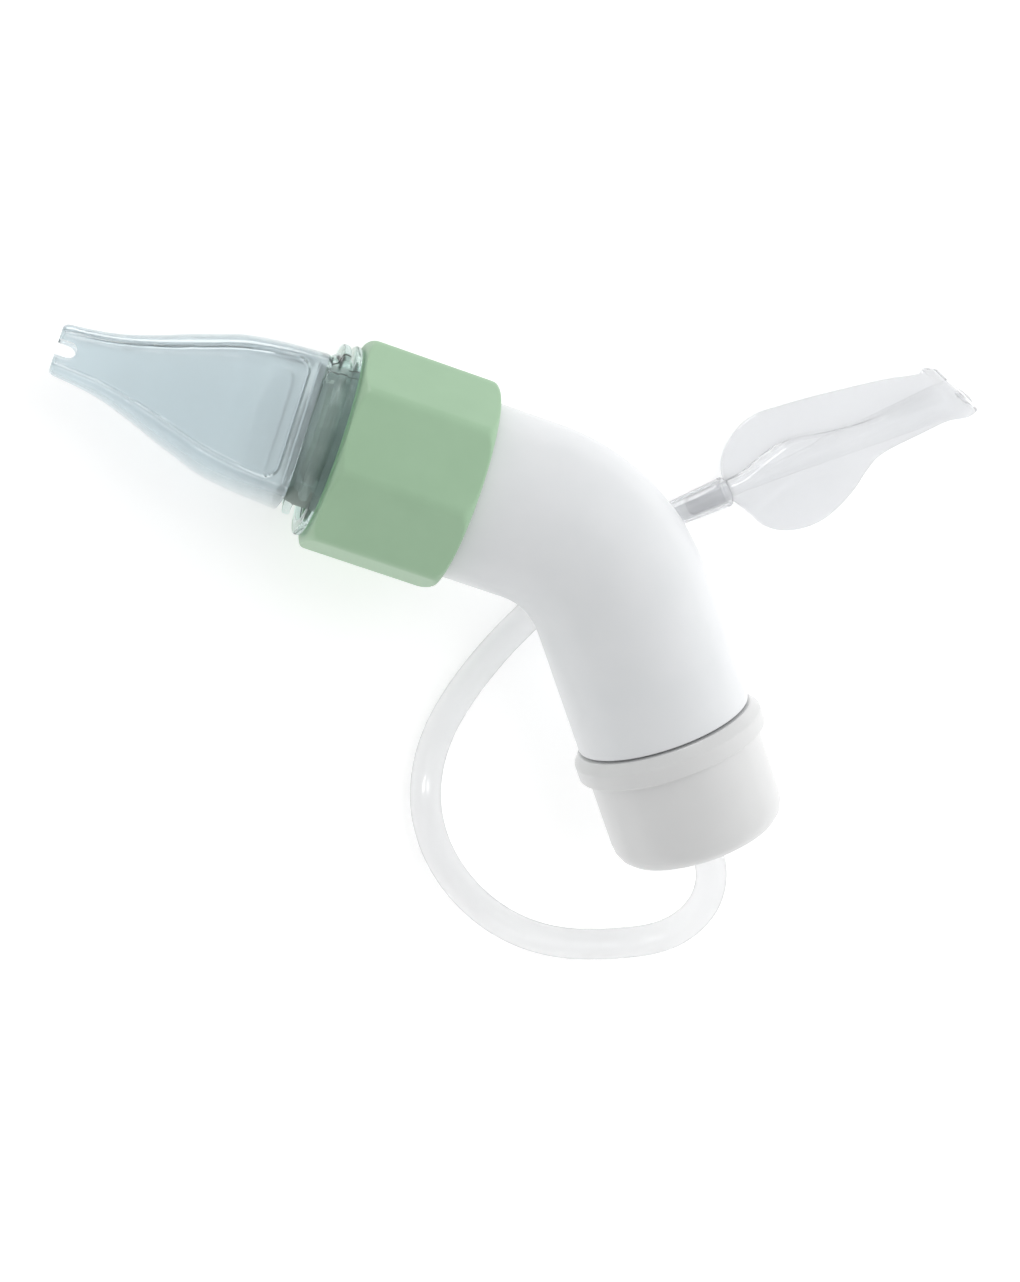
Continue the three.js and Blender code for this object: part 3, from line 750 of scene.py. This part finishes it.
def subtract(target, solid, matrix, material=None):
    """Cuts a solid out of a piece, for good. The new faces can have their own material."""
    points, faces = solid
    mesh = bpy.data.meshes.new("cutter")
    mesh.from_pydata([matrix @ Vector(p) for p in points], [], faces)
    clean = bmesh.new()
    clean.from_mesh(mesh)
    bmesh.ops.recalc_face_normals(clean, faces=clean.faces)
    clean.to_mesh(mesh)
    clean.free()
    if material:
        mesh.materials.append(material)
    cutter = bpy.data.objects.new("cutter", mesh)
    bpy.context.scene.collection.objects.link(cutter)
    modifier = target.modifiers.new("cut", "BOOLEAN")
    modifier.operation = "DIFFERENCE"
    modifier.solver = "EXACT"
    modifier.material_mode = "TRANSFER" if material else "INDEX"
    modifier.object = cutter
    bpy.context.view_layer.update()
    depsgraph = bpy.context.evaluated_depsgraph_get()
    cut = bpy.data.meshes.new_from_object(target.evaluated_get(depsgraph))
    target.modifiers.clear()
    target.data = cut
    cut.shade_smooth()
    cut.set_sharp_from_angle(angle=math.radians(50))
    bpy.data.objects.remove(cutter)


def tip_ring():
    """The clear ring round the tip, between the collar's front and the tip's flange."""
    low = COLLAR_FRONT + 0.4
    solid = lathe(
        [
            (FLANGE_RADIUS + 0.3, low, 0.5),
            (FLANGE_RADIUS + 0.3, low + 1.2, 0.5),
            (TIP_RADIUS + GAP, low + 1.2, 0.3),
            (TIP_RADIUS + GAP, low, 0.3),
        ]
    )
    return piece("tip_ring_clear", solid, NOSE, "nose", CLEAR, ["tip_ring"])


def disc(radius, low, high, fillet=0.2):
    """A flat disc with rounded edges."""
    corners = [(radius, low, fillet), (radius, high, fillet), (ON_AXIS, high, 0), (ON_AXIS, low, 0)]
    return loft([circle(r, z, DISC_SIDES) for r, z in rounded(corners)])


def pierce(made, matrix, low, high, hole_radius, ring_radius):
    """Cuts one hole in the middle of a disc and six round it."""
    spots = [(0.0, 0.0)]
    for i in range(6):
        angle = 2 * math.pi * i / 6
        spots.append((ring_radius * math.cos(angle), ring_radius * math.sin(angle)))
    pins = []
    for x, y in spots:
        ends = [circle(hole_radius, z, 32) + np.array([x, y, 0]) for z in (low, high)]
        pins.append(loft(ends, looped=False))
    subtract(made, joined(*pins), matrix)


def tip_baffle():
    """A cup, coloured dark as painted shade, whose pierced end is domed to fit inside the start of
    the blade.
    """
    r = TIP_RADIUS - TIP_WALL - GAP
    inside = r - BAFFLE_WALL
    bottom = COLLAR_FRONT - BAFFLE_REACH
    top = COLLAR_FRONT + BAFFLE_REACH
    # Each ring's half width, half thickness and height: up the outside, then down the inside.
    rings = [
        (r - 0.2, r - 0.2, bottom),
        (r, r, bottom + 0.2),
        (r, r, top - 0.3),
        (12.0, 11.7, top),
        (12.0, 11.2, top + 0.4),
        (11.9, 9.7, top + 1.2),
        (11.7, 8.3, top + 1.9),
        (11.2, 7.7, top + 2.2),
        (ON_AXIS, ON_AXIS, top + 2.2),
        (ON_AXIS, ON_AXIS, top - BAFFLE_WALL),
        (inside - 0.2, inside - 0.2, top - BAFFLE_WALL),
        (inside, inside, top - BAFFLE_WALL - 0.2),
        (inside, inside, bottom + 0.2),
        (inside + 0.2, inside + 0.2, bottom),
    ]
    solid = loft([circle(1.0, z, DISC_SIDES) * np.array([x, y, 1.0]) for x, y, z in rings])
    made = piece("tip_baffle_cup", solid, NOSE, "nose", PAINTED_SHADE_GREY, ["tip_baffle"])
    pierce(made, NOSE, COLLAR_FRONT + 1, COLLAR_FRONT + 9, 1.4, 5)


def square_ring(inner, outer, low, high, fillet):
    """A ring whose section is a rectangle with rounded corners."""
    corners = [(outer, low), (outer, high), (inner, high), (inner, low)]
    return lathe([(radius, height, fillet) for radius, height in corners])


def tip_seal():
    """The washer between the body's neck and the tip."""
    low = NECK_END + GAP
    solid = square_ring(NECK_BORE, NECK_RADIUS, low, low + 1, 0.3)
    return piece("tip_seal_ring", solid, NOSE, "nose", SEAL, ["tip_seal"])


def cap_o_ring():
    """The O-ring in the spigot's groove."""
    middle = BODY_END + sum(SEAL_GROOVE) / 2
    half = 0.4
    solid = square_ring(SPIGOT_RADIUS - 0.7, SPIGOT_RADIUS + 0.1, middle - half, middle + half, half)
    return piece("cap_o_ring_seal", solid, CAP, "elbow", SEAL, ["cap_o_ring"])


# ---- The end cap ----


def end_cap():
    """The cup on the body's end, with a grip ring round its mouth and a hole for the hose."""
    ledge_bore = CAP_BORE - CAP_LEDGE_WIDTH
    floor_top = CAP_END - CAP_FLOOR
    ring_low, ring_high = (CAP_MOUTH + edge for edge in CAP_RING_SPAN)
    hole = HOSE_RADIUS + 0.5
    solid = lathe(
        [
            (BODY_RADIUS + 0.25, CAP_MOUTH, 0.3),
            (CAP_RING, ring_low, 0.6),
            (CAP_RING, ring_high, 0.4),
            (BODY_RADIUS, ring_high + 0.5, 0.5),
            (BODY_RADIUS, CAP_END, CAP_EDGE),
            (hole, CAP_END, 0.4),
            (hole, floor_top, 0.2),
            (ledge_bore - 2, floor_top, 0.8),
            (ledge_bore, floor_top - 2, 0.5),
            (ledge_bore, CAP_LEDGE, 0.2),
            (CAP_BORE, CAP_LEDGE, 0.3),
            (CAP_BORE, CAP_MOUTH, 0.5),
        ]
    )
    return piece("end_cap_shell", solid, CAP, "root", SHADED_CAP_WHITE, ["end_cap"])


def filter_grid():
    """The pierced disc that holds the foam, on the cap's ledge."""
    top = CAP_LEDGE - GAP
    solid = disc(CAP_BORE - GAP, top - GRID_THICKNESS, top)
    made = piece("filter_grid_disc", solid, CAP, "root", BODY, ["filter_grid"])
    pierce(made, CAP, top - 3, top + 2, 2, 7)


def filter_foam():
    """The foam pad against the grid, on the body's side of it."""
    top = CAP_LEDGE - 2 * GAP - GRID_THICKNESS
    solid = disc(CAP_BORE - GAP - 0.3, top - FOAM_THICKNESS, top, 0.8)
    return piece("filter_foam_pad", solid, CAP, "root", FOAM, ["filter_foam"])


def hose_nipple():
    """The stem that the hose is pushed on, with a flange inside the cap's floor."""
    flange_top = CAP_END - CAP_FLOOR - GAP
    flange_low = flange_top - 1.5
    solid = lathe(
        [
            (NIPPLE_FLANGE, flange_low, 0.3),
            (NIPPLE_FLANGE, flange_top, 0.3),
            (HOSE_RADIUS + 0.1, flange_top, 0.2),
            (HOSE_RADIUS + 0.1, NIPPLE_END, 0.4),
            (NIPPLE_BORE, NIPPLE_END, 0.2),
            (NIPPLE_BORE, flange_low, 0.2),
        ],
        64,
    )
    return piece("hose_nipple_stem", solid, CAP, "root", MILKY, ["hose_nipple"])


# ---- The hose ----


def smooth_route(points, steps=8):
    """Points on a smooth curve through the route (a centripetal Catmull-Rom spline)."""
    points = [Vector(p) for p in points]
    first = points[0] * 2 - points[1]
    last = points[-1] * 2 - points[-2]
    points = [first, *points, last]
    path = []
    for a, b, c, d in zip(points, points[1:], points[2:], points[3:]):
        t1 = math.sqrt((b - a).length)
        t2 = t1 + math.sqrt((c - b).length)
        t3 = t2 + math.sqrt((d - c).length)
        for k in range(steps):
            t = t1 + (t2 - t1) * k / steps
            ab = a.lerp(b, t / t1)
            bc = b.lerp(c, (t - t1) / (t2 - t1))
            cd = c.lerp(d, (t - t2) / (t3 - t2))
            early = ab.lerp(bc, t / t2)
            late = bc.lerp(cd, (t - t1) / (t3 - t1))
            path.append(early.lerp(late, (t - t1) / (t2 - t1)))
    path.append(points[-2])
    return path


def tube_rings(path, radius, sides=72):
    """Circles square to a path, carried along it without twisting."""
    rings = []
    side = Vector((0, 0, 1)).cross(path[1] - path[0]).normalized()
    for i, point in enumerate(path):
        along = (path[min(i + 1, len(path) - 1)] - path[max(i - 1, 0)]).normalized()
        side = (side - along * side.dot(along)).normalized()
        up = along.cross(side)
        ring = []
        for j in range(sides):
            a = 2 * math.pi * j / sides
            ring.append(point + (side * math.cos(a) + up * math.sin(a)) * radius)
        rings.append(ring)
    return rings


def hose():
    """The clear tube, a limp cord that ends in the mouthpiece's sleeve."""
    path = smooth_route(HOSE_ROUTE)
    outer = tube_rings(path, HOSE_RADIUS * MM)
    inner = tube_rings(path, HOSE_BORE * MM)
    tube = loft(outer + inner[::-1])
    made = piece("hose_tube", tube, Matrix(), "root", HOSE_CLEAR, ["hose"], 60)
    made.data.materials.append(INNER_WALL)
    half = len(made.data.polygons) // 2
    for polygon in made.data.polygons:
        polygon.material_index = int(polygon.index >= half)
    return made


# ---- The mouthpiece ----

# By distance along the axis: the plan edges of the two wings, then the duct's sharp left
# foot, its crest, and the crest's height. All are measured to the left of the axis.
LEFT_EDGE = [
    (4.6, 1.9),
    (5.0, 4.2),
    (6.0, 6.3),
    (8.1, 8.3),
    (11.3, 10.2),
    (15.3, 11.1),
    (19.9, 10.8),
    (26.7, 10.0),
    (34.7, 8.8),
    (42.7, 7.5),
    (48.0, 6.4),
    (50.5, 6.1),
    (52.8, 6.6),
    (54.3, 6.1),
]
RIGHT_EDGE = [
    (4.6, -1.9),
    (5.5, -3.0),
    (7.1, -5.6),
    (8.8, -8.6),
    (12.0, -11.0),
    (16.0, -12.2),
    (20.2, -12.3),
    (24.3, -11.2),
    (28.3, -9.3),
    (31.3, -7.3),
    (34.5, -5.6),
    (38.0, -5.0),
    (44.0, -4.7),
    (49.5, -4.5),
    (52.5, -5.3),
    (54.3, -5.0),
]
DUCT_FOOT = [
    (4.6, 2.6),
    (8.4, 2.5),
    (11.2, 3.2),
    (16.5, 4.6),
    (20.5, 4.6),
    (25.0, 3.6),
    (30.0, 2.5),
    (36.0, 2.0),
    (45.0, 2.8),
    (54.3, 3.2),
]
DUCT_CREST = [
    (4.6, 0.2),
    (8.4, 0.6),
    (11.2, 1.5),
    (16.5, 2.7),
    (20.5, 2.7),
    (25.0, 1.9),
    (30.0, 1.3),
    (36.0, 0.6),
    (45.0, -0.6),
    (54.3, -1.4),
]
CREST_HEIGHT = [(4.6, 2.9), (12.0, 3.0), (24.0, 2.7), (38.0, 2.3), (48.0, 2.2), (54.3, 2.5)]
MOUTH_START = 4.6
MOUTH_END = 54.3
WING = 0.75  # half the wings' thickness
WING_DROOP = 0.7  # how far the wings' edges hang below their middle
DUCT_BELOW = 0.75  # the duct's height under the wings, as a share of its height over them
LIP = 0.55  # how far the lip at the slanted end stands up
LIP_AT = 53.3
LIP_WIDTH = 0.8
LEAN_START = 38.0  # where the sections start to lean over
LEAN_SPAN = 16.0
SPIGOT = 1.8
SPIGOT_START = -3.5


def lean(along, left):
    """Where a section's point lies along the axis: sections lean over at the slanted end."""
    slant = min(max((along - LEAN_START) / LEAN_SPAN, 0.0), 1.0) ** 2
    return along - 0.5 * left * slant


def duct_rise(along, left, right_edge):
    """The duct's height over the wings, from 0 to 1: steep from its foot to its crest,
    then a long fall towards the lobed wing."""
    foot = smooth_table(DUCT_FOOT, along, 1)
    crest = smooth_table(DUCT_CREST, along, 1)
    if left > crest:
        climb = max(0.0, (foot - left) / (foot - crest))
        return climb**2 * (3 - 2 * climb)
    fall = max(3.5, min(7.0, crest - right_edge))
    return math.cos(math.pi / 2 * min(1.0, (crest - left) / fall)) ** 2


def mouth_section(along, points_across=81):
    """Across the mouthpiece: two thin wings, and the duct between them."""
    left_edge = smooth_table(LEFT_EDGE, along, 1)
    right_edge = smooth_table(RIGHT_EDGE, along, 1)
    height = smooth_table(CREST_HEIGHT, along, 1)
    lip = LIP * math.exp(-(((along - LIP_AT) / LIP_WIDTH) ** 2))
    top, bottom = [], []
    for k in range(points_across):
        across = math.cos(math.pi * k / (points_across - 1))
        left = (left_edge + right_edge) / 2 + (left_edge - right_edge) / 2 * across
        edge = max(0.0, 1 - across**2) ** 0.5
        rim = min(1.0, 3.2 * edge) ** 0.5 * (WING + lip)
        rise = duct_rise(along, left, right_edge) * min(1.0, 2.5 * edge) * (height - WING)
        droop = WING_DROOP * min(abs(left) / 12, 1.0) ** 2
        x = lean(along, left)
        top.append((x, left, rim + rise - droop))
        bottom.append((x, left, -rim - rise * DUCT_BELOW - droop))
    return top + bottom[-2:0:-1]


def duct_bore():
    """The air way through the mouthpiece, from its spigot to a flat oval opening."""
    rings = []
    for along in [SPIGOT_START - 1, 2.0, 5.0, *np.arange(8.0, 60.0, 1.5)]:
        spread = min(max((along - 5) / 45, 0.0), 1.0)
        middle = -0.5 * spread
        width = 1.0 + 2.4 * spread
        height = 1.0 + 0.2 * spread
        ring = []
        for k in range(40):
            turn = 2 * math.pi * k / 40
            left = middle + width * math.cos(turn)
            ring.append((lean(along, left), left, height * math.sin(turn)))
        rings.append(ring)
    return loft(rings, looped=False)


def mouthpiece():
    """The winged mouthpiece, from the spigot in the sleeve to its lipped, slanted end."""
    spans = [MOUTH_START + 0.12 * k for k in range(20)] + list(np.arange(7.0, 46.0, 0.5))
    spans += list(np.arange(46.0, MOUTH_END, 0.25)) + [MOUTH_END]
    rings = [mouth_section(along) for along in spans]
    neck = []
    for along, radius in [
        (SPIGOT_START, SPIGOT - 0.25),
        (SPIGOT_START + 0.3, SPIGOT),
        (MOUTH_START, SPIGOT),
    ]:
        neck.append([(along, left, up) for left, up in round_like(len(rings[0]), radius)])
    end = np.array(rings[-1])
    middle = end.mean(axis=0)
    rounded_end = []
    for inset, out in [(0.03, 0.3), (0.08, 0.45)]:
        rounded_end.append(middle + (end - middle) * (1 - inset) + np.array([out, 0, 0]))
    shell = loft(neck + rings + rounded_end, looped=False)
    made = piece(
        "mouthpiece_shell",
        shell,
        MOUTH,
        "mouthpiece",
        MOUTH_CLEAR,
        ["mouthpiece"],
        60,
    )
    subtract(made, duct_bore(), MOUTH, INNER_WALL)
    return made


def round_like(count, radius):
    """Points of a circle, spaced round it as a section's points are."""
    points = []
    for k in range(count):
        turn = 2 * math.pi * k / count
        points.append((radius * math.cos(turn), radius * math.sin(turn)))
    return points


def mouthpiece_sleeve():
    """The sleeve at the hose's end, which widens towards the mouthpiece."""
    start, end = SLEEVE_SPAN
    outline = rounded([(2.35, start, 0.2), (2.95, end, 0.35), (2.2, end, 0.2), (1.95, start, 0.2)])
    points, faces = loft([circle(r, z, 64) for r, z in outline])
    return piece(
        "mouthpiece_sleeve_clear",
        (points[:, [2, 0, 1]], faces),
        MOUTH,
        "root",
        MOUTH_CLEAR,
        ["mouthpiece_sleeve"],
    )


# ---- The floor and the light ----

TABLE_GLOW = 0.52
SURROUND_STRENGTH = 0.62
TIP_AT = (-0.0447, 0.0057, 0.0257)  # a place on the nose tip's upper face


def floor():
    """The pale table under everything, which glows a little so that it reads as white."""
    mesh = bpy.data.meshes.new("floor")
    half = 3.0
    corners = [(-half, -half, 0), (half, -half, 0), (half, half, 0), (-half, half, 0)]
    mesh.from_pydata(corners, [], [(0, 1, 2, 3)])
    made = bpy.data.objects.new("floor", mesh)
    bpy.context.scene.collection.objects.link(made)
    table = new_material("table", (0.74, 0.74, 0.74), 0.9)
    shader = table.node_tree.nodes["Principled BSDF"]
    shader.inputs["Emission Color"].default_value = (1.0, 1.0, 1.0, 1.0)
    shader.inputs["Emission Strength"].default_value = TABLE_GLOW
    mesh.materials.append(table)


def area_light(name, location, target, across, up, energy, reflected, edge=(0, 0, 1)):
    """A rectangular light that faces a target, with its second side as near to an edge's
    direction as it goes. It is either only seen as a reflection, or never seen as one."""
    light = bpy.data.lights.new(name, "AREA")
    light.energy = energy
    light.shape = "RECTANGLE"
    light.size = across
    light.size_y = up
    made = bpy.data.objects.new(name, light)
    back = (Vector(location) - Vector(target)).normalized()
    side = Vector(edge).cross(back).normalized()
    turn = Matrix((side, back.cross(side), back)).transposed().to_4x4()
    made.matrix_world = Matrix.Translation(location) @ turn
    made.visible_diffuse = not reflected
    made.visible_glossy = reflected
    bpy.context.scene.collection.objects.link(made)


def lighting():
    """An even white surround, two soft lights, and three that only show as reflections."""
    world = bpy.data.worlds.new("studio")
    world.use_nodes = True
    background = world.node_tree.nodes["Background"]
    background.inputs["Color"].default_value = (1.0, 1.0, 1.0, 1.0)
    background.inputs["Strength"].default_value = SURROUND_STRENGTH
    bpy.context.scene.world = world
    area_light("key", (0.70, 0.30, 0.22), (0, 0, 0.01), 0.6, 0.6, 1.9, False)
    area_light("top", (0.14, 0.34, 0.70), (0, 0, 0), 0.5, 0.5, 1.2, False)
    area_light("rim", (-0.27, 0.49, 0.20), TIP_AT, 0.22, 0.36, 1.5, True)
    area_light("bar", (-0.130, 0.13, 0.505), TIP_AT, 0.0025, 0.07, 0.006, True, edge=(1, 0, 0.3))
    area_light("side", (-0.27, -0.17, 0.50), (0.01, -0.04, 0), 0.04, 0.20, 0.24, True)


# ---- Make everything ----

hose()
elbow_body()
collar()
nose_tip()
tip_ring()
tip_baffle()
tip_seal()
end_cap()
filter_grid()
filter_foam()
hose_nipple()
mouthpiece()
mouthpiece_sleeve()
cap_o_ring()
floor()
lighting()
bpy.context.scene.view_settings.view_transform = "Standard"
